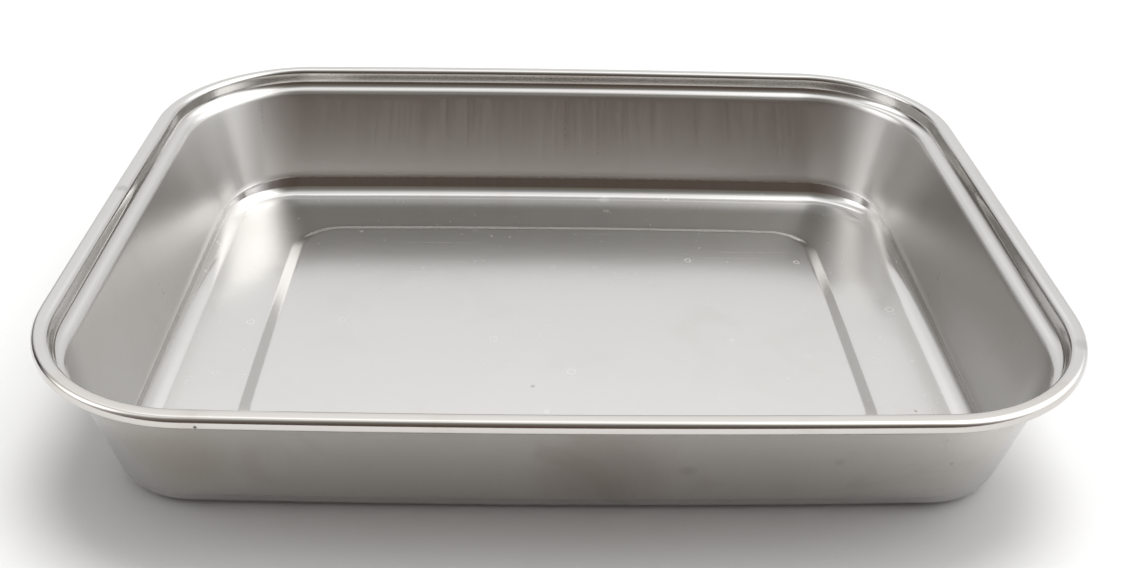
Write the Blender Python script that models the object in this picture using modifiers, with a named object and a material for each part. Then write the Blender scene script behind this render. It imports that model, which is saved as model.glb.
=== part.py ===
"""Deep-drawn stainless steel instrument tray, with a reinforcing wire rolled into its rim.

Metres, +Z up. The origin is under the middle of the floor, on the plane the tray stands on. +X is the long
way and the front faces -Y.
The pan is one sheet, drawn from a section of arcs and straight runs. Every ring of the section is a rounded
rectangle, with its sides bowed out a little. The foot of the wall has one section on the long sides and
another on the short ends, and the corners pass from one to the other.
"""

import bmesh
import bpy
import math

# --- driving dimensions, in metres ---
LENGTH = 0.3810  # outside the rim, along X
WIDTH = 0.3048  # outside the rim, along Y
HEIGHT = 0.0610  # table to the top of the rim
SHEET = 0.0008
CORNER_RADIUS = 0.0650  # plan radius of the rim's outer face
CORNER_TAPER = 1.30  # how much faster than its inset a ring's corner radius shrinks
END_CROWN = 0.003  # how far the short ends bow out, as a share of the half length
SIDE_CROWN = 0.026  # how far the long sides bow out, as a share of the half width

# The rim, as insets from its outer face and drops from its top
BEAD_RADIUS = 0.0022
BEAD_FLAT_END = 0.0046
CURL_RADIUS = 0.0014
CURL_WIDTH = 0.0046
CURL_DEPTH = 0.0046
CURL_END_DROP = 0.0026

# The lid seat, a soft shoulder below the rim
SEAT_CORNER_DROP = 0.0053  # where the step wall ends and the hollow of the seat begins
SEAT_CORNER_RADIUS = 0.0042
SEAT_TILT = 24.0  # degrees, the least slope the seat comes down to
SEAT_BEND_RADIUS = 0.0050

# The walls and the floor. The wall meets the foot in a crease, and the foot turns out to the floor
SIDE_CREASE = (0.0250, 0.0095)  # inset and height of the crease on the long sides
END_CREASE = (0.0236, 0.0071)  # and on the short ends
SIDE_FLOOR_INSET = 0.0350  # where the foot meets the floor
END_FLOOR_INSET = 0.0318
FILLET_RADIUS = 0.0093
FILLET_TURN = 52.0  # degrees of slope at which the wide fillet hands over to the tight bend
TIGHT_RADIUS = 0.0016
PANEL_LENGTH = 0.2584  # the pressed panel at the foot of its slope
PANEL_WIDTH = 0.1760
PANEL_SLOPE = 0.0053  # the slope's run, seen from above
PANEL_RISE = 0.0016
PANEL_CORNER_RADIUS = 0.0220

# The wire in the rim
WIRE_RADIUS = 0.0010
WIRE_INSET = 0.00225
WIRE_DROP = 0.00225

# How finely the rings are cut, for a quarter of the tray
CORNER_STEPS = 8
LONG_STEPS = 4
SHORT_STEPS = 2

OBJECT_NAME = "instrument_tray"


def clear_scene():
    for scene_object in list(bpy.data.objects):
        bpy.data.objects.remove(scene_object, do_unlink=True)


def make_collection(name):
    collection = bpy.data.collections.new(name)
    bpy.context.scene.collection.children.link(collection)
    return collection


def make_material(name, colour, roughness):
    material = bpy.data.materials.new(name)
    material.use_nodes = True
    shader = material.node_tree.nodes["Principled BSDF"]
    shader.inputs["Base Color"].default_value = (*colour, 1.0)
    shader.inputs["Metallic"].default_value = 1.0
    shader.inputs["Roughness"].default_value = roughness
    return material


def quarter_ring(half_length, half_width, radius):
    """Plan points of one ring from the middle of the +Y side to the middle of the +X end."""
    straight_length = half_length / (1 + END_CROWN)
    straight_width = half_width / (1 + SIDE_CROWN)
    centre_x = straight_length - radius
    centre_y = straight_width - radius
    flat = [(centre_x * step / LONG_STEPS, straight_width) for step in range(LONG_STEPS)]
    for step in range(CORNER_STEPS + 1):
        angle = math.pi / 2 * (1 - step / CORNER_STEPS)
        flat.append((centre_x + radius * math.cos(angle), centre_y + radius * math.sin(angle)))
    for step in range(1, SHORT_STEPS + 1):
        flat.append((straight_length, centre_y * (1 - step / SHORT_STEPS)))
    ring = []
    for x, y in flat:
        bowed_x = x * (1 + END_CROWN * (1 - (y / straight_width) ** 2))
        bowed_y = y * (1 + SIDE_CROWN * (1 - (x / straight_length) ** 2))
        ring.append((bowed_x, bowed_y))
    return ring


def end_shares():
    """How far each point of a quarter ring belongs to the short end: 0 on the long side, 1 on the end."""
    corner = [step / CORNER_STEPS for step in range(CORNER_STEPS + 1)]
    return [0.0] * LONG_STEPS + [share * share * (3 - 2 * share) for share in corner] + [1.0] * SHORT_STEPS


def inset_ring(side, end):
    """A ring from the section point (inset, height) on the long sides to its partner on the short ends."""
    radius = CORNER_RADIUS - CORNER_TAPER * (side[0] + end[0]) / 2
    plan = quarter_ring(LENGTH / 2 - end[0], WIDTH / 2 - side[0], radius)
    return [(x, y, side[1] + (end[1] - side[1]) * share) for (x, y), share in zip(plan, end_shares())]


def panel_ring(inset, height):
    """A level ring of the pressed panel, inset from the foot of its slope."""
    half_length = PANEL_LENGTH / 2 - inset
    half_width = PANEL_WIDTH / 2 - inset
    plan = quarter_ring(half_length, half_width, PANEL_CORNER_RADIUS - inset)
    return [(x, y, height) for x, y in plan]


def arc(centre_inset, centre_height, radius, start, end, steps):
    """Section points on an arc. Angles turn from inward, the way the inset grows, towards up."""
    points = []
    for step in range(steps + 1):
        angle = math.radians(start + (end - start) * step / steps)
        points.append((centre_inset + radius * math.cos(angle), centre_height + radius * math.sin(angle)))
    return points


def rim_section():
    """The show face from the hidden end of the curl, round the bead and into the hollow of the seat."""
    curl_height = HEIGHT - CURL_DEPTH + CURL_RADIUS
    seat_inset = BEAD_FLAT_END + BEAD_RADIUS + SEAT_CORNER_RADIUS
    points = [(CURL_WIDTH, HEIGHT - CURL_END_DROP)]
    points += arc(CURL_WIDTH - CURL_RADIUS, curl_height, CURL_RADIUS, 0, -90, 3)
    points += arc(CURL_RADIUS, curl_height, CURL_RADIUS, -90, -180, 3)
    points += arc(BEAD_RADIUS, HEIGHT - BEAD_RADIUS, BEAD_RADIUS, 180, 90, 4)
    points += arc(BEAD_FLAT_END, HEIGHT - BEAD_RADIUS, BEAD_RADIUS, 90, 0, 4)
    points += arc(seat_inset, HEIGHT - SEAT_CORNER_DROP, SEAT_CORNER_RADIUS, 180, 270 - SEAT_TILT, 3)
    return points


def tangent_turn(inset_gap, height_gap, radius):
    """The slope, in degrees, of a straight run that leaves a bend and passes a point off its centre."""
    reach = math.hypot(inset_gap, height_gap)
    return math.degrees(math.atan2(height_gap, inset_gap) + math.asin(radius / reach))


def foot_section(crease, floor_inset):
    """From just below the crease to the floor: a tight bend, then the wide fillet."""
    lean = math.radians(FILLET_TURN)
    wide_height = SHEET + FILLET_RADIUS
    tight_inset = floor_inset - (FILLET_RADIUS - TIGHT_RADIUS) * math.sin(lean)
    tight_height = wide_height - (FILLET_RADIUS - TIGHT_RADIUS) * math.cos(lean)
    steep_turn = tangent_turn(tight_inset - crease[0], crease[1] - tight_height, TIGHT_RADIUS)
    points = arc(tight_inset, tight_height, TIGHT_RADIUS, 270 - steep_turn, 270 - FILLET_TURN, 1)
    points += arc(floor_inset, wide_height, FILLET_RADIUS, 270 - FILLET_TURN, 270, 4)[1:]
    return points


def wall_section(crease, floor_inset):
    """The show face from the seat over its bend, down the wall to the crease and round to the floor."""
    tilt = math.radians(SEAT_TILT)
    reach = SEAT_CORNER_RADIUS + SEAT_BEND_RADIUS
    bend_inset = BEAD_FLAT_END + BEAD_RADIUS + SEAT_CORNER_RADIUS - reach * math.sin(tilt)
    bend_height = HEIGHT - SEAT_CORNER_DROP - reach * math.cos(tilt)
    wall_turn = tangent_turn(crease[0] - bend_inset, bend_height - crease[1], SEAT_BEND_RADIUS)
    bend = arc(bend_inset, bend_height, SEAT_BEND_RADIUS, 90 - SEAT_TILT, 90 - wall_turn, 4)
    return bend[1:] + [crease] + foot_section(crease, floor_inset)


def section_rings():
    """Every ring of the pan's show face, from the curl to the edge of the raised panel."""
    rings = [inset_ring(point, point) for point in rim_section()]
    sides = wall_section(SIDE_CREASE, SIDE_FLOOR_INSET)
    ends = wall_section(END_CREASE, END_FLOOR_INSET)
    rings += [inset_ring(side, end) for side, end in zip(sides, ends)]
    rings.append(panel_ring(0.0, SHEET))
    rings.append(panel_ring(PANEL_SLOPE, SHEET + PANEL_RISE))
    return rings


def loft_quarter(rings):
    """An open quarter of the sheet: quads between the rings, and one flat face for the panel."""
    mesh = bmesh.new()
    rows = [[mesh.verts.new(point) for point in ring] for ring in rings]
    for upper, lower in zip(rows, rows[1:]):
        for index in range(len(upper) - 1):
            mesh.faces.new((upper[index], lower[index], lower[index + 1], upper[index + 1]))
    middle = mesh.verts.new((0.0, 0.0, rings[-1][0][2]))
    mesh.faces.new([middle] + list(reversed(rows[-1])))
    return mesh


def add_mirror(part):
    mirror = part.modifiers.new("Mirror", "MIRROR")
    mirror.use_axis = (True, True, False)
    mirror.use_mirror_merge = True
    mirror.merge_threshold = 0.00001


def add_thickness(part):
    solidify = part.modifiers.new("Solidify", "SOLIDIFY")
    solidify.thickness = SHEET
    solidify.offset = -1.0
    solidify.use_even_offset = True


def make_tray_pan(collection):
    mesh = bpy.data.meshes.new("tray_pan")
    quarter = loft_quarter(section_rings())
    quarter.normal_update()
    quarter.to_mesh(mesh)
    quarter.free()
    mesh.materials.append(make_material("satin_stainless", (0.60, 0.59, 0.57), 0.24))
    mesh.shade_smooth()
    mesh.set_sharp_from_angle(angle=math.radians(35))
    pan = bpy.data.objects.new("tray_pan", mesh)
    collection.objects.link(pan)
    add_mirror(pan)
    add_thickness(pan)
    return pan


def full_ring(quarter):
    """The whole closed ring from its quarter, each point once."""
    right_back = quarter
    right_front = [(x, -y, z) for x, y, z in reversed(quarter[:-1])]
    left_front = [(-x, -y, z) for x, y, z in quarter[1:]]
    left_back = [(-x, y, z) for x, y, z in reversed(quarter[1:-1])]
    return right_back + right_front + left_front + left_back


def make_rim_wire(collection):
    centre = (WIRE_INSET, HEIGHT - WIRE_DROP)
    ring = full_ring(inset_ring(centre, centre))
    path = bpy.data.curves.new("rim_wire", "CURVE")
    path.dimensions = "3D"
    path.bevel_depth = WIRE_RADIUS
    path.bevel_resolution = 2
    spline = path.splines.new("POLY")
    spline.points.add(len(ring) - 1)
    for point, (x, y, z) in zip(spline.points, ring):
        point.co = (x, y, z, 1.0)
    spline.use_cyclic_u = True
    path.materials.append(make_material("drawn_wire", (0.45, 0.44, 0.43), 0.35))
    wire = bpy.data.objects.new("rim_wire", path)
    collection.objects.link(wire)
    return wire


clear_scene()
tray = make_collection(OBJECT_NAME)
make_tray_pan(tray)
make_rim_wire(tray)
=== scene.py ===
"""The looks of a deep-drawn stainless steel instrument tray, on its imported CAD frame. Metres, +Z up."""

import bpy
import math
import numpy as np
from mathutils import Matrix, Vector


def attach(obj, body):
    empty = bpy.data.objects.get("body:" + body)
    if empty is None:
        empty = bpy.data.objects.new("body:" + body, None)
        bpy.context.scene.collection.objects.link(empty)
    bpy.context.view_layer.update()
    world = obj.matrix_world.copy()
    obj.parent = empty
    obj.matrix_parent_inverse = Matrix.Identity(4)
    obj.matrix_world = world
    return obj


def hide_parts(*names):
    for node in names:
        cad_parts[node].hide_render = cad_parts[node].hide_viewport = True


# --- the pan's section, as insets from the rim's outer face and drops from its top, in metres ---
LENGTH = 0.3810
WIDTH = 0.3048
HEIGHT = 0.0610
SHEET = 0.0008
CORNER_RADIUS = 0.0650
CORNER_TAPER = 1.30
END_CROWN = 0.003
SIDE_CROWN = 0.026

BEAD_RADIUS = 0.0022
BEAD_FLAT_END = 0.0046
CURL_RADIUS = 0.0014
CURL_WIDTH = 0.0046
CURL_DEPTH = 0.0046
CURL_END_DROP = 0.0026
SEAT_CORNER_DROP = 0.0053  # where the straight step wall ends and the seat's hollow begins
SEAT_CORNER_RADIUS = 0.0042
SEAT_TILT = 24  # degrees, the seat's least slope
SEAT_BEND_RADIUS = 0.0050
SIDE_CREASE = (0.0250, 0.0095)  # inset and height of the crease on the long sides
END_CREASE = (0.0236, 0.0071)  # and on the short ends
SIDE_FLOOR_INSET = 0.0350
END_FLOOR_INSET = 0.0318
FILLET_RADIUS = 0.0093
FILLET_TURN = 52  # degrees of slope at which the wide fillet hands over to the tight bend
TIGHT_RADIUS = 0.0016
CREASE_RIDGE = 0.00026  # how far the crease stands out on the short ends
# across that ridge, as (distance down from the crease, share of its height)
RIDGE_PROFILE = ((-0.00050, 0.0), (-0.00027, 0.5), (-0.00004, 1.0), (0.00035, 0.0))
PANEL_LENGTH = 0.2584
PANEL_WIDTH = 0.1760
PANEL_SLOPE = 0.0053
PANEL_RISE = 0.0016
PANEL_BEND = 0.0005  # half the width of the small bend at each end of the panel's slope
PANEL_CORNER_RADIUS = 0.0220

# --- wear and painted shade: small marks on the steel, and two broad patches of painted shade on the front wall, as (centre, radius, soft edge, strength, colour) ---
MARKS_AND_PAINTED_SHADE = (
    ((-0.186, 0.009, 0.061), 0.0010, 0.0026, 0.30, (0.25, 0.24, 0.23)),
    ((-0.119, -0.151, 0.058), 0.0004, 0.0004, 0.85, (0.05, 0.04, 0.04)),
    ((0.043, -0.133, 0.027), 0.0010, 0.0036, 0.22, (0.24, 0.20, 0.18)),
    ((0.095, -0.134, 0.032), 0.0006, 0.0022, 0.20, (0.25, 0.21, 0.19)),
    ((0.135, -0.132, 0.030), 0.0005, 0.0011, 0.30, (0.20, 0.15, 0.13)),
    # painted shade: these two broad, soft patches darken the middle and the left of the front wall, where it
    # reflects the table in shade
    ((0.013, -0.133, 0.026), 0.0080, 0.0240, 0.26, (0.26, 0.20, 0.17)),
    ((-0.131, -0.133, 0.032), 0.0060, 0.0200, 0.26, (0.36, 0.32, 0.22)),
    ((-0.011, -0.051, 0.0024), 0.0004, 0.0010, 0.40, (0.22, 0.20, 0.19)),
    ((0.145, -0.064, 0.0008), 0.0004, 0.0006, 0.45, (0.22, 0.20, 0.19)),
    ((0.026, 0.118, 0.0008), 0.0022, 0.0010, 0.45, (0.86, 0.86, 0.85)),
    ((-0.040, 0.081, 0.0024), 0.0014, 0.0010, 0.35, (0.86, 0.86, 0.85)),
    ((0.185, -0.104, 0.061), 0.0016, 0.0030, 0.25, (0.30, 0.29, 0.29)),
    ((0.005, 0.1355, 0.0405), 0.0004, 0.0006, 0.35, (0.80, 0.78, 0.76)),
    ((0.005, 0.1345, 0.0370), 0.0003, 0.0005, 0.30, (0.36, 0.33, 0.31)),
)

# --- how far the dies burnished each part of the sheet: 0 is satin, 1 is bright ---
RIM_BURNISH = 0.75
SEAT_BURNISH = 0.6
WALL_BURNISH = 0.0
RIDGE_BURNISH = 0.8
END_FOOT_BURNISH = 0.45  # the foot on the short ends; on the long sides it is bright
STRIP_BURNISH = 0.7
SLOPE_BURNISH = 0.8
PANEL_BURNISH = 0.6

# --- how finely the rings are cut, for a quarter of the tray ---
CORNER_STEPS = 24
LONG_STEPS = 20
SHORT_STEPS = 17

# --- how finely the wall's section is cut, from the lid seat down ---
BEND_STEPS = 14
WALL_STEPS = 14
FOOT_STEPS = 5
TIGHT_STEPS = 4
FILLET_STEPS = 14
STRIP_STEPS = 8
PANEL_SCALES = (0.99, 0.95, 0.88, 0.76, 0.62, 0.48, 0.34, 0.20, 0.08)

# --- where those stretches begin, in rings from the seat's bend ---
RIDGE_ROW = BEND_STEPS + WALL_STEPS - 1
FOOT_ROW = RIDGE_ROW + len(RIDGE_PROFILE)
TIGHT_ROW = FOOT_ROW + FOOT_STEPS - 1
FILLET_ROW = TIGHT_ROW + TIGHT_STEPS + 1
BRIGHT_ROW = FILLET_ROW + 3  # from here down the fillet is bright all round


# ---------------------------------------------------------------- geometry
def quarter_ring(half_length, half_width, radius):
    """Plan points from the middle of the +Y side to the middle of the +X end."""
    straight_length = half_length / (1 + END_CROWN)
    straight_width = half_width / (1 + SIDE_CROWN)
    centre_x = straight_length - radius
    centre_y = straight_width - radius
    flat = [(centre_x * step / LONG_STEPS, straight_width) for step in range(LONG_STEPS)]
    for step in range(CORNER_STEPS + 1):
        angle = math.pi / 2 * (1 - step / CORNER_STEPS)
        flat.append((centre_x + radius * math.cos(angle), centre_y + radius * math.sin(angle)))
    for step in range(1, SHORT_STEPS + 1):
        flat.append((straight_length, centre_y * (1 - step / SHORT_STEPS)))
    points = []
    for x, y in flat:
        bowed_x = x * (1 + END_CROWN * (1 - (y / straight_width) ** 2))
        bowed_y = y * (1 + SIDE_CROWN * (1 - (x / straight_length) ** 2))
        points.append((bowed_x, bowed_y))
    return points


def full_ring(quarter):
    """The whole closed ring from its quarter, each point once, clockwise from above."""
    right_front = [(x, -y) for x, y in reversed(quarter[:-1])]
    left_front = [(-x, -y) for x, y in quarter[1:]]
    left_back = [(-x, y) for x, y in reversed(quarter[1:-1])]
    return np.array(quarter + right_front + left_front + left_back)


def inset_ring(side_inset, end_inset):
    """A ring set in from the rim, by one amount on the long sides and another on the short ends."""
    radius = CORNER_RADIUS - CORNER_TAPER * (side_inset + end_inset) / 2
    return full_ring(quarter_ring(LENGTH / 2 - end_inset, WIDTH / 2 - side_inset, radius))


def panel_ring(inset):
    """A ring set in from the foot of the floor panel's slope."""
    radius = PANEL_CORNER_RADIUS - inset
    return full_ring(quarter_ring(PANEL_LENGTH / 2 - inset, PANEL_WIDTH / 2 - inset, radius))


def arc(centre_inset, centre_height, radius, start, end, steps):
    """Section points on an arc. Angles turn from inward, the way the inset grows, towards up."""
    points = []
    for step in range(steps + 1):
        angle = math.radians(start + (end - start) * step / steps)
        points.append((centre_inset + radius * math.cos(angle), centre_height + radius * math.sin(angle)))
    return points


def line(start, end, steps):
    """Section points strictly between two others."""
    points = []
    for step in range(1, steps):
        share = step / steps
        points.append((start[0] + (end[0] - start[0]) * share, start[1] + (end[1] - start[1]) * share))
    return points


def chain(*pieces, straight_steps):
    """Joins arcs by straight runs."""
    points = list(pieces[0])
    for piece, steps in zip(pieces[1:], straight_steps):
        points += line(points[-1], piece[0], steps) + list(piece)
    return points


def rim_section():
    """The show face from the hidden end of the curl, round the bead and down into the lid seat."""
    curl_height = HEIGHT - CURL_DEPTH + CURL_RADIUS
    seat_wall = BEAD_FLAT_END + BEAD_RADIUS
    seat_corner = (seat_wall + SEAT_CORNER_RADIUS, HEIGHT - SEAT_CORNER_DROP)
    return chain(
        [(CURL_WIDTH, HEIGHT - CURL_END_DROP)],
        arc(CURL_WIDTH - CURL_RADIUS, curl_height, CURL_RADIUS, 0, -90, 6),
        arc(CURL_RADIUS, curl_height, CURL_RADIUS, -90, -180, 6),
        arc(BEAD_RADIUS, HEIGHT - BEAD_RADIUS, BEAD_RADIUS, 180, 90, 12),
        arc(BEAD_FLAT_END, HEIGHT - BEAD_RADIUS, BEAD_RADIUS, 90, 0, 10),
        arc(*seat_corner, SEAT_CORNER_RADIUS, 180, 270 - SEAT_TILT, 10),
        straight_steps=(1, 1, 2, 3, 3),
    )


def tangent_turn(inset_gap, height_gap, radius):
    """The slope of a straight run that leaves a bend and passes a point off its centre."""
    reach = math.hypot(inset_gap, height_gap)
    return math.atan2(height_gap, inset_gap) + math.asin(radius / reach)


def foot_section(crease, floor_inset):
    """From below the crease down to the floor: a straight run, a tight bend, then the wide fillet."""
    lean = math.radians(FILLET_TURN)
    wide_height = SHEET + FILLET_RADIUS
    tight_inset = floor_inset - (FILLET_RADIUS - TIGHT_RADIUS) * math.sin(lean)
    tight_height = wide_height - (FILLET_RADIUS - TIGHT_RADIUS) * math.cos(lean)
    steep_turn = tangent_turn(tight_inset - crease[0], crease[1] - tight_height, TIGHT_RADIUS)
    wide = arc(floor_inset, wide_height, FILLET_RADIUS, 270 - FILLET_TURN, 270, FILLET_STEPS)
    steep = math.degrees(steep_turn)
    tight = arc(tight_inset, tight_height, TIGHT_RADIUS, 270 - steep, 270 - FILLET_TURN, TIGHT_STEPS)
    return steep_turn, tight + wide[1:]


def crease_ridge(crease, above, below, ridge):
    """The points across the low ridge along the crease, between the wall's slope and the foot's."""
    inset, height = crease
    lean = (above + below) / 2
    points = []
    for drop, rise in RIDGE_PROFILE:
        out = rise * ridge
        points.append((
            inset + drop * math.cos(lean) + out * math.sin(lean),
            height - drop * math.sin(lean) + out * math.cos(lean),
        ))
    return points


def wall_section(crease, floor_inset, ridge):
    """The show face from the lid seat over its bend, down the wall and round to the floor."""
    tilt = math.radians(SEAT_TILT)
    reach = SEAT_CORNER_RADIUS + SEAT_BEND_RADIUS
    bend_inset = BEAD_FLAT_END + BEAD_RADIUS + SEAT_CORNER_RADIUS - reach * math.sin(tilt)
    bend_height = HEIGHT - SEAT_CORNER_DROP - reach * math.cos(tilt)
    wall_turn = tangent_turn(crease[0] - bend_inset, bend_height - crease[1], SEAT_BEND_RADIUS)
    steep = 90 - math.degrees(wall_turn)
    bend = arc(bend_inset, bend_height, SEAT_BEND_RADIUS, 90 - SEAT_TILT, steep, BEND_STEPS)
    foot_turn, foot = foot_section(crease, floor_inset)
    crest = crease_ridge(crease, wall_turn, foot_turn, ridge)
    return chain(bend[1:], crest, foot, straight_steps=(WALL_STEPS, FOOT_STEPS))


def smooth(share):
    return share * share * (3 - 2 * share)


def panel_section():
    """Insets from the foot of the panel's slope, with heights: straight, with a small bend at each end."""
    bend = PANEL_BEND
    tilt = PANEL_RISE / PANEL_SLOPE
    points = []
    for inset in (-bend, -bend / 2, 0.0, bend / 2, bend):
        rise = tilt * (inset + bend) ** 2 / (4 * bend)
        points.append((inset, rise))
    points += line((bend, tilt * bend), (PANEL_SLOPE - bend, PANEL_RISE - tilt * bend), 4)
    points += [(PANEL_SLOPE - inset, PANEL_RISE - rise) for inset, rise in reversed(points[:5])]
    return [(inset, SHEET + rise) for inset, rise in points]


def end_share():
    """For each point of a ring, how much it belongs to a short end: 0 on the long sides, 1 on the ends."""
    quarter = [0.0] * LONG_STEPS
    quarter += [smooth(step / CORNER_STEPS) for step in range(CORNER_STEPS + 1)]
    quarter += [1.0] * SHORT_STEPS
    shares = quarter + quarter[:-1][::-1] + quarter[1:] + quarter[1:-1][::-1]
    return np.array(shares)


def wall_burnish(row, shares):
    """How far the dies burnished one ring of the wall's section, all round."""
    level = np.ones(len(shares))
    if row < BEND_STEPS // 2:
        return level * SEAT_BURNISH
    if row <= RIDGE_ROW:
        return level * WALL_BURNISH
    if row < FOOT_ROW:
        return shares * RIDGE_BURNISH
    if row < BRIGHT_ROW:
        return 1 - (1 - END_FOOT_BURNISH) * shares
    return level


def pan_rings():
    """Every ring of the show face, as plan points, heights, and how far the dies burnished it."""
    rings = []
    shares = end_share()
    level = np.ones(len(shares))
    for inset, height in rim_section():
        rings.append((inset_ring(inset, inset), level * height, level * RIM_BURNISH))
    side = wall_section(SIDE_CREASE, SIDE_FLOOR_INSET, 0.0)
    end = wall_section(END_CREASE, END_FLOOR_INSET, CREASE_RIDGE)
    for row, ((side_inset, side_height), (end_inset, end_height)) in enumerate(zip(side, end)):
        heights = side_height * (1 - shares) + end_height * shares
        rings.append((inset_ring(side_inset, end_inset), heights, wall_burnish(row, shares)))
    edge = rings[-1][0]
    section = panel_section()
    foot = panel_ring(section[0][0])
    for step in range(1, STRIP_STEPS):
        share = step / STRIP_STEPS
        rings.append((edge * (1 - share) + foot * share, level * SHEET, level * STRIP_BURNISH))
    for inset, height in section:
        rings.append((panel_ring(inset), level * height, level * SLOPE_BURNISH))
    top = rings[-1][0]
    for scale in PANEL_SCALES:
        rings.append((top * scale, level * (SHEET + PANEL_RISE), level * PANEL_BURNISH))
    return rings


def ring_circle(plan):
    """A ring's points laid round a circle of the same girth, so that a texture follows it without a seam."""
    plan = np.asarray(plan)
    steps = np.linalg.norm(np.roll(plan, -1, axis=0) - plan, axis=1)
    girth = steps.sum()
    angle = 2 * np.pi * (np.cumsum(steps) - steps) / girth
    radius = girth / (2 * np.pi)
    return np.column_stack([radius * np.cos(angle), radius * np.sin(angle)])


def pan_faces(ring_count, count):
    """Quads between neighbouring rings, and a fan of triangles round the middle point that comes last."""
    faces = []
    for row in range(ring_count - 1):
        upper, lower = row * count, (row + 1) * count
        for index in range(count):
            after = (index + 1) % count
            faces.append((upper + index, lower + index, lower + after, upper + after))
    last, middle = (ring_count - 1) * count, ring_count * count
    for index in range(count):
        faces.append((last + (index + 1) % count, last + index, middle))
    return faces


def build_pan():
    """The show face, ring by ring, with the sheet's thickness put behind it."""
    rings = pan_rings()
    count = len(rings[0][0])
    points = []
    burnish = []
    unrolled = []
    depth = np.zeros(count)
    previous = None
    circle = ring_circle(rings[len(rim_section()) + TIGHT_ROW][0])
    for plan, heights, polish in rings:
        ring = np.column_stack([plan, heights])
        if previous is not None:
            depth = depth + np.linalg.norm(ring - previous, axis=1)
        previous = ring
        points += [tuple(point) for point in ring]
        burnish += list(polish)
        unrolled += list(np.column_stack([circle, depth]).ravel())
    points.append((0.0, 0.0, SHEET + PANEL_RISE))
    burnish.append(PANEL_BURNISH)
    unrolled += [0.0, 0.0, float(depth[0])]
    mesh = bpy.data.meshes.new("pan_skin")
    mesh.from_pydata(points, [], pan_faces(len(rings), count))
    mesh.validate()
    mesh.shade_smooth()
    mesh.attributes.new("burnish", "FLOAT", "POINT").data.foreach_set("value", burnish)
    mesh.attributes.new("unrolled", "FLOAT_VECTOR", "POINT").data.foreach_set("vector", unrolled)
    pan = bpy.data.objects.new("pan_skin", mesh)
    bpy.context.scene.collection.objects.link(pan)
    thickness = pan.modifiers.new("Solidify", "SOLIDIFY")
    thickness.thickness = SHEET
    thickness.offset = -1.0
    thickness.use_even_offset = True
    return pan


# ---------------------------------------------------------------- materials
STEEL = (0.622, 0.614, 0.600, 1.0)
FRONT_SHADED_STEEL = (0.625, 0.598, 0.570, 1.0)  # painted shade: the outside of the front is made a little darker and browner, like the dark, brownish room on the camera's side that it reflects
SMUDGE = (0.45, 0.40, 0.35, 1.0)
DRIED_WATER = (0.82, 0.82, 0.81, 1.0)
WIRE_STEEL = (0.45, 0.44, 0.43, 1.0)
DULL_WIRE = (0.36, 0.34, 0.32, 1.0)
SATIN_ROUGHNESS = 0.31
BURNISHED_ROUGHNESS = 0.13
FLOOR_TOP = (0.0030, 0.0040)  # heights over which the floor's own marks end
SEAT_FOOT = (0.0470, 0.0500)  # heights over which the wall's draw marks end
FRONT_FACE = (-0.1240, -0.1300)  # in Y, where the outside of the front begins
HAIRLINES = ((0.5, 9.0, 0.735), (-0.9, 11.0, 0.745))  # turn, waves a metre along them, least noise level


def new_material(name):
    material = bpy.data.materials.new(name)
    material.use_nodes = True
    return material, material.node_tree.nodes, material.node_tree.links


class Shading:
    """Short names for the nodes a procedural steel is built from. Every method returns an output socket."""

    def __init__(self, material):
        self.nodes = material.node_tree.nodes
        self.links = material.node_tree.links
        self.place = self.nodes.new("ShaderNodeTexCoord").outputs["Object"]

    def put(self, socket, value):
        if isinstance(value, bpy.types.NodeSocket):
            self.links.new(value, socket)
        else:
            socket.default_value = value

    def attribute(self, name, output):
        node = self.nodes.new("ShaderNodeAttribute")
        node.attribute_name = name
        return node.outputs[output]

    def math(self, operation, first, second):
        node = self.nodes.new("ShaderNodeMath")
        node.operation = operation
        self.put(node.inputs[0], first)
        self.put(node.inputs[1], second)
        return node.outputs[0]

    def stretch(self, vector, scale, turn=(0.0, 0.0, 0.0)):
        node = self.nodes.new("ShaderNodeMapping")
        self.put(node.inputs["Vector"], vector)
        node.inputs["Rotation"].default_value = turn
        node.inputs["Scale"].default_value = scale
        return node.outputs[0]

    def noise(self, vector, scale, detail, distortion=0.0):
        node = self.nodes.new("ShaderNodeTexNoise")
        self.put(node.inputs["Vector"], vector)
        node.inputs["Scale"].default_value = scale
        node.inputs["Detail"].default_value = detail
        node.inputs["Distortion"].default_value = distortion
        return node.outputs["Fac"]

    def window(self, value, start, end, low=0.0, high=1.0):
        """A smooth step of a value, from low at start to high at end."""
        node = self.nodes.new("ShaderNodeMapRange")
        node.interpolation_type = "SMOOTHSTEP"
        self.put(node.inputs["Value"], value)
        node.inputs["From Min"].default_value = start
        node.inputs["From Max"].default_value = end
        node.inputs["To Min"].default_value = low
        node.inputs["To Max"].default_value = high
        return node.outputs[0]

    def spot(self, centre, radius, soft):
        """One mark round a point: 1 inside the radius, fading over the soft edge."""
        wander = self.noise(self.place, 900.0, 2.0)
        node = self.nodes.new("ShaderNodeVectorMath")
        node.operation = "DISTANCE"
        self.put(node.inputs[0], self.place)
        node.inputs[1].default_value = centre
        reach = self.math("MULTIPLY_ADD", wander, radius)
        reach.node.inputs[2].default_value = -radius / 2
        total = self.math("ADD", node.outputs["Value"], reach)
        return self.window(total, radius, radius + soft, 1.0, 0.0)

    def blend(self, factor, first, second):
        node = self.nodes.new("ShaderNodeMix")
        node.data_type = "RGBA"
        self.put(node.inputs["Factor"], factor)
        self.put(node.inputs["A"], first)
        self.put(node.inputs["B"], second)
        return node.outputs["Result"]

    def total(self, *values):
        result = values[0]
        for value in values[1:]:
            result = self.math("ADD", result, value)
        return result

    def scaled(self, value, factor):
        return self.math("MULTIPLY", value, factor)


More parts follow.
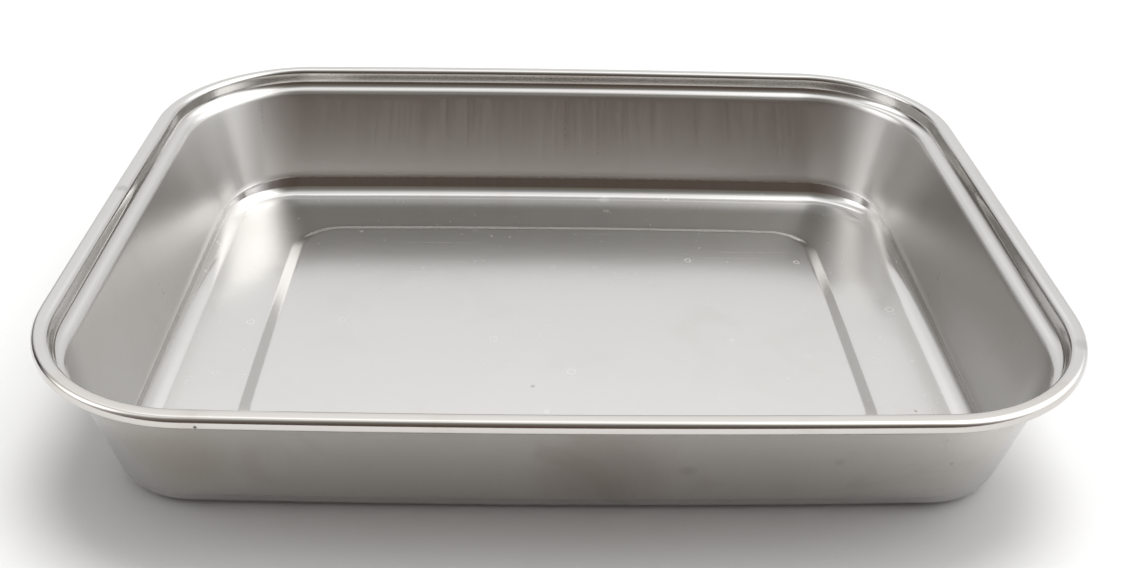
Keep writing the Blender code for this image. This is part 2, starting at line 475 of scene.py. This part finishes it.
def water_marks(shade, floor):
    """Thin rings and specks that dried drops left on the floor."""
    cells = shade.nodes.new("ShaderNodeTexVoronoi")
    shade.put(cells.inputs["Vector"], shade.place)
    cells.inputs["Scale"].default_value = 75.0
    chosen = shade.window(cells.outputs["Color"], 0.70, 0.74)
    inner = shade.window(cells.outputs["Distance"], 0.10, 0.13)
    outer = shade.window(cells.outputs["Distance"], 0.13, 0.17, 1.0, 0.0)
    rings = shade.math("MULTIPLY", inner, outer)
    specks = shade.window(shade.noise(shade.place, 420.0, 1.0), 0.745, 0.775)
    marks = shade.math("ADD", shade.math("MULTIPLY", rings, chosen), shade.scaled(specks, 0.8))
    return shade.math("MULTIPLY", marks, floor)


def scratches(shade):
    """Hairline scratches in two crossing directions."""
    lines = []
    for turn, long_scale, cut in HAIRLINES:
        stretched = shade.stretch(shade.place, (long_scale, 1500.0, long_scale), (0.0, 0.0, turn))
        lines.append(shade.window(shade.noise(stretched, 1.0, 1.0), cut, cut + 0.03))
    return shade.math("MAXIMUM", *lines)


def make_pan_steel():
    """Satin stainless: rolled grain, draw marks down the walls, smudges, water marks, a few scuffs, and
    painted shade on the outside of the front.
    """
    material, nodes, links = new_material("pan_steel")
    shade = Shading(material)
    shader = nodes["Principled BSDF"]
    shader.inputs["Metallic"].default_value = 1.0
    burnish = shade.attribute("burnish", "Fac")
    unrolled = shade.attribute("unrolled", "Vector")
    split = nodes.new("ShaderNodeSeparateXYZ")
    links.new(shade.place, split.inputs[0])
    floor = shade.window(split.outputs["Z"], *FLOOR_TOP, 1.0, 0.0)
    outside = shade.window(split.outputs["Y"], *FRONT_FACE)
    below_seat = shade.window(split.outputs["Z"], *SEAT_FOOT, 1.0, 0.0)
    walls = shade.math("MULTIPLY", below_seat, shade.math("SUBTRACT", 1.0, floor))

    grain = shade.noise(shade.stretch(shade.place, (520.0, 1300.0, 1300.0)), 1.0, 3.0)
    draw = shade.noise(shade.stretch(unrolled, (420.0, 420.0, 16.0)), 1.0, 3.0)
    fine_draw = shade.noise(shade.stretch(unrolled, (1600.0, 1600.0, 60.0)), 1.0, 2.0)
    sway = shade.noise(shade.place, 13.0, 1.0)
    cloud = shade.noise(shade.place, 26.0, 4.0, 0.8)
    handled = shade.window(outside, 0.0, 1.0, 0.25, 1.0)
    smudge = shade.math("MULTIPLY", shade.window(cloud, 0.50, 0.76), handled)
    marks = water_marks(shade, floor)
    scratch = shade.math("MULTIPLY", scratches(shade), floor)

    draw_share = shade.math("SUBTRACT", draw, 0.5)
    rough = shade.total(
        shade.window(burnish, 0.0, 1.0, SATIN_ROUGHNESS, BURNISHED_ROUGHNESS),
        shade.scaled(shade.math("SUBTRACT", grain, 0.5), 0.05),
        shade.scaled(shade.math("MULTIPLY", draw_share, walls), 0.14),
        shade.scaled(smudge, 0.05),
        shade.scaled(marks, 0.16),
        shade.scaled(scratch, 0.08),
    )
    links.new(rough, shader.inputs["Roughness"])

    # painted shade: the outside of the front gets the darker, browner steel
    clean = shade.blend(outside, STEEL, FRONT_SHADED_STEEL)
    dulled = shade.blend(shade.scaled(smudge, 0.36), clean, SMUDGE)
    colour = shade.blend(shade.scaled(marks, 0.22), dulled, DRIED_WATER)
    # scuffs and specks, and the two patches of painted shade on the front wall
    for centre, radius, soft, share, tone in MARKS_AND_PAINTED_SHADE:
        mark = shade.scaled(shade.spot(centre, radius, soft), share)
        colour = shade.blend(mark, colour, (*tone, 1.0))
    links.new(colour, shader.inputs["Base Color"])

    relief = shade.total(
        shade.scaled(shade.math("MULTIPLY", grain, below_seat), 0.0000045),
        shade.scaled(shade.math("MULTIPLY", draw, walls), 0.000012),
        shade.scaled(shade.math("MULTIPLY", fine_draw, walls), 0.0000022),
        shade.scaled(sway, 0.00022),
        shade.scaled(scratch, -0.000003),
    )
    bump = nodes.new("ShaderNodeBump")
    bump.inputs["Distance"].default_value = 1.0
    links.new(relief, bump.inputs["Height"])
    links.new(bump.outputs[0], shader.inputs["Normal"])
    return material


def make_wire_steel():
    """Drawn wire: fine lines along its length and a dull, uneven finish."""
    material, nodes, links = new_material("wire_steel")
    shade = Shading(material)
    shader = nodes["Principled BSDF"]
    shader.inputs["Metallic"].default_value = 1.0
    pulled = shade.noise(shade.stretch(shade.place, (120.0, 120.0, 4000.0)), 1.0, 3.0)
    patches = shade.noise(shade.place, 160.0, 3.0)
    colour = shade.blend(shade.window(patches, 0.4, 0.65), WIRE_STEEL, DULL_WIRE)
    links.new(colour, shader.inputs["Base Color"])
    links.new(shade.window(pulled, 0.3, 0.7, 0.26, 0.46), shader.inputs["Roughness"])
    bump = nodes.new("ShaderNodeBump")
    bump.inputs["Distance"].default_value = 1.0
    links.new(shade.scaled(pulled, 0.000006), bump.inputs["Height"])
    links.new(bump.outputs[0], shader.inputs["Normal"])
    return material


# ---------------------------------------------------------------- studio
TABLE_HALF = 40.0
TABLE_DROP = 0.00005  # keeps the table's face clear of the pan's
TABLE_GREY = 0.62
CAMERA_PLACE = (-0.012242, -0.4729, 0.309613)
CAMERA_TURN = (1.751, -31.406, 1.444)  # yaw, pitch and roll in degrees
CAMERA_LENS = 40.307  # millimetres

# the surroundings' light, in bands by degrees up from the horizon: the white tent, then the dark room
PEAK = 4.0
WHITE_STOPS = ((0, 0.95), (12, 0.92), (32, 1.05), (46, 1.4), (60, 1.9), (70, 1.6), (80, 1.3), (88, 1.1))
ROOM_STOPS = (
    (0, (0.10, 0.07, 0.06)),
    (20, (0.11, 0.075, 0.063)),
    (32, (0.115, 0.094, 0.076)),
    (45, (0.17, 0.148, 0.122)),
    (58, (0.21, 0.193, 0.168)),
    (68, (0.28, 0.28, 0.265)),
    (78, (0.5, 0.5, 0.49)),
    (88, (1.1, 1.1, 1.1)),
)
# how much of the tent there is, by degrees round to the right from straight behind the tray
TENT_STOPS = (
    (-180, 0.0),
    (-158, 0.03),
    (-134, 0.15),
    (-114, 0.45),
    (-100, 0.75),
    (-82, 0.5),
    (-64, 0.35),
    (-48, 0.75),
    (-28, 1.0),
    (20, 1.0),
    (34, 0.92),
    (60, 0.9),
    (90, 1.0),
    (108, 1.0),
    (120, 0.6),
    (137, 0.17),
    (158, 0.03),
    (180, 0.0),
)
# each as azimuth, elevation, where it is full, where it is gone, and its level; the last is a dark card
SOFTBOXES = (
    (88, 43, 4, 48, 1.3),
    (-93, 32, 3, 28, 1.3),
    (-55, 5, 5, 29, -0.45),
)
LEAST_LIGHT = (0.004, 0.004, 0.004)  # so that the dark card never takes away more than there is


def make_floor():
    mesh = bpy.data.meshes.new("studio_floor")
    half = TABLE_HALF
    corners = [(-half, -half, 0), (half, -half, 0), (half, half, 0), (-half, half, 0)]
    mesh.from_pydata(corners, [], [(0, 1, 2, 3)])
    floor = bpy.data.objects.new("studio_floor", mesh)
    floor.location = (0, 0, -TABLE_DROP)
    bpy.context.scene.collection.objects.link(floor)
    material, nodes, links = new_material("studio_floor")
    shader = nodes["Principled BSDF"]
    shader.inputs["Base Color"].default_value = (TABLE_GREY, TABLE_GREY, TABLE_GREY, 1.0)
    shader.inputs["Roughness"].default_value = 0.9
    shader.inputs["Specular IOR Level"].default_value = 0.1
    mesh.materials.append(material)


def add_ramp(nodes, span, stops, peak=1.0):
    """A colour ramp over a span of its input, with (input, level or colour) stops."""
    fit = nodes.new("ShaderNodeMapRange")
    fit.inputs["From Min"].default_value, fit.inputs["From Max"].default_value = span
    ramp = nodes.new("ShaderNodeValToRGB")
    elements = ramp.color_ramp.elements
    while len(elements) < len(stops):
        elements.new(0.5)
    for element, (place, level) in zip(elements, stops):
        colour = level if isinstance(level, tuple) else (level, level, level)
        element.position = (place - span[0]) / (span[1] - span[0])
        element.color = (*(channel / peak for channel in colour), 1.0)
    fit.id_data.links.new(fit.outputs[0], ramp.inputs[0])
    return fit.inputs["Value"], ramp.outputs[0]


def add_softbox(nodes, direction, azimuth, elevation, inner, outer, level):
    """The light of one big softbox round a direction: full out to one angle, gone at the other."""
    across, up = math.radians(azimuth), math.radians(elevation)
    aim = (math.sin(across) * math.cos(up), math.cos(across) * math.cos(up), math.sin(up))
    dot = nodes.new("ShaderNodeVectorMath")
    dot.operation = "DOT_PRODUCT"
    dot.inputs[1].default_value = aim
    fade = nodes.new("ShaderNodeMapRange")
    fade.interpolation_type = "SMOOTHERSTEP"
    fade.inputs["From Min"].default_value = math.cos(math.radians(outer))
    fade.inputs["From Max"].default_value = math.cos(math.radians(inner))
    fade.inputs["To Max"].default_value = level
    links = dot.id_data.links
    links.new(direction, dot.inputs[0])
    links.new(dot.outputs["Value"], fade.inputs["Value"])
    return fade.outputs[0]


def add_angle(nodes, operation, *values):
    """An angle worked out by one inverse function, in degrees."""
    turn = nodes.new("ShaderNodeMath")
    turn.operation = operation
    links = turn.id_data.links
    for socket, value in zip(turn.inputs, values):
        links.new(value, socket)
    angle = nodes.new("ShaderNodeMath")
    angle.operation = "DEGREES"
    links.new(turn.outputs[0], angle.inputs[0])
    return angle.outputs[0]


def make_world():
    """A white photo tent behind and above, softboxes left and right, a dark room on the camera's side."""
    world = bpy.data.worlds.new("studio")
    bpy.context.scene.world = world
    world.use_nodes = True
    nodes, links = world.node_tree.nodes, world.node_tree.links
    direction = nodes.new("ShaderNodeTexCoord").outputs["Generated"]
    split = nodes.new("ShaderNodeSeparateXYZ")
    links.new(direction, split.inputs[0])
    elevation = add_angle(nodes, "ARCSINE", split.outputs["Z"])
    azimuth = add_angle(nodes, "ARCTAN2", split.outputs["X"], split.outputs["Y"])
    white_in, white = add_ramp(nodes, (0, 90), WHITE_STOPS, PEAK)
    room_in, room = add_ramp(nodes, (0, 90), ROOM_STOPS, PEAK)
    tent_in, tent = add_ramp(nodes, (-180, 180), TENT_STOPS)
    links.new(elevation, white_in)
    links.new(elevation, room_in)
    links.new(azimuth, tent_in)
    surround = nodes.new("ShaderNodeMix")
    surround.data_type = "RGBA"
    links.new(tent, surround.inputs["Factor"])
    links.new(room, surround.inputs["A"])
    links.new(white, surround.inputs["B"])
    light = surround.outputs["Result"]
    for softbox in SOFTBOXES:
        total = nodes.new("ShaderNodeVectorMath")
        total.operation = "ADD"
        level = add_softbox(nodes, direction, *softbox[:4], softbox[4] / PEAK)
        links.new(light, total.inputs[0])
        links.new(level, total.inputs[1])
        light = total.outputs[0]
    lit = nodes.new("ShaderNodeVectorMath")
    lit.operation = "MAXIMUM"
    lit.inputs[1].default_value = LEAST_LIGHT
    links.new(light, lit.inputs[0])
    background = nodes["Background"]
    links.new(lit.outputs[0], background.inputs["Color"])
    background.inputs["Strength"].default_value = PEAK


def make_table_light():
    """A very soft light from behind that whitens the table without showing in the steel."""
    data = bpy.data.lights.new("table_light", "SUN")
    data.angle = math.radians(30)
    data.energy = 2.0
    light = bpy.data.objects.new("table_light", data)
    light.rotation_euler = Vector((0.1, 0.28, 0.95)).to_track_quat("Z", "Y").to_euler()
    light.visible_glossy = False
    bpy.context.scene.collection.objects.link(light)


def make_camera():
    yaw, pitch, roll = (math.radians(turn) for turn in CAMERA_TURN)
    forward = Vector((math.sin(yaw) * math.cos(pitch), math.cos(yaw) * math.cos(pitch), math.sin(pitch)))
    level = Vector((math.cos(yaw), -math.sin(yaw), 0.0))
    upward = level.cross(forward)
    right = level * math.cos(roll) + upward * math.sin(roll)
    up = upward * math.cos(roll) - level * math.sin(roll)
    data = bpy.data.cameras.new("camera")
    data.sensor_width = 36.0
    data.lens = CAMERA_LENS
    data.clip_start = 0.01
    camera = bpy.data.objects.new("camera", data)
    bpy.context.scene.collection.objects.link(camera)
    place = Matrix((right, up, -forward)).transposed().to_4x4()
    place.translation = Vector(CAMERA_PLACE)
    camera.matrix_world = place
    bpy.context.scene.camera = camera


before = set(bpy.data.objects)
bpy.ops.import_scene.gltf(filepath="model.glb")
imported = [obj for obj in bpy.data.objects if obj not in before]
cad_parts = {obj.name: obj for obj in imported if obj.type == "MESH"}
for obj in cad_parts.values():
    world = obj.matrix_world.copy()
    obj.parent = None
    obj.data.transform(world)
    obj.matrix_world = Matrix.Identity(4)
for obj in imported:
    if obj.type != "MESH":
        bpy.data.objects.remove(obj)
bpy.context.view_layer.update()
pan = build_pan()
pan.data.materials.append(make_pan_steel())
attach(pan, "root")
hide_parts("tray_pan")
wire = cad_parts["rim_wire"]
wire_steel = make_wire_steel()
for slot in wire.material_slots:
    slot.material = wire_steel
make_floor()
make_world()
make_table_light()
make_camera()
bpy.context.scene.view_settings.view_transform = "Standard"
